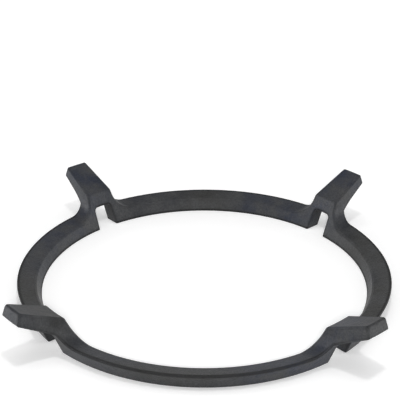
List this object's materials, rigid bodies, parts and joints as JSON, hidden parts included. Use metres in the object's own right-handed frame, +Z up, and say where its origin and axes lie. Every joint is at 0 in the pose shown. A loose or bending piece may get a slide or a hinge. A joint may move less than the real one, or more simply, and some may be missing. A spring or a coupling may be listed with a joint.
{
  "type": "wok ring",
  "caption": "Cast-iron ring with claws that lean out and up to hold a round-bottomed pan; each claw arches over a slot for a finger of the pan support.",
  "frame": {"origin": "centre of the ring on its flat underside", "axes": "+Z up through the ring; the claws point along +X, +Y, -X and -Y"},
  "size_m": [0.2758, 0.2758, 0.0351],
  "materials": {
    "cast_iron": "satin"
  },
  "bodies": {
    "root": {"wok_ring": "cast_iron"}
  },
  "joints": []
}
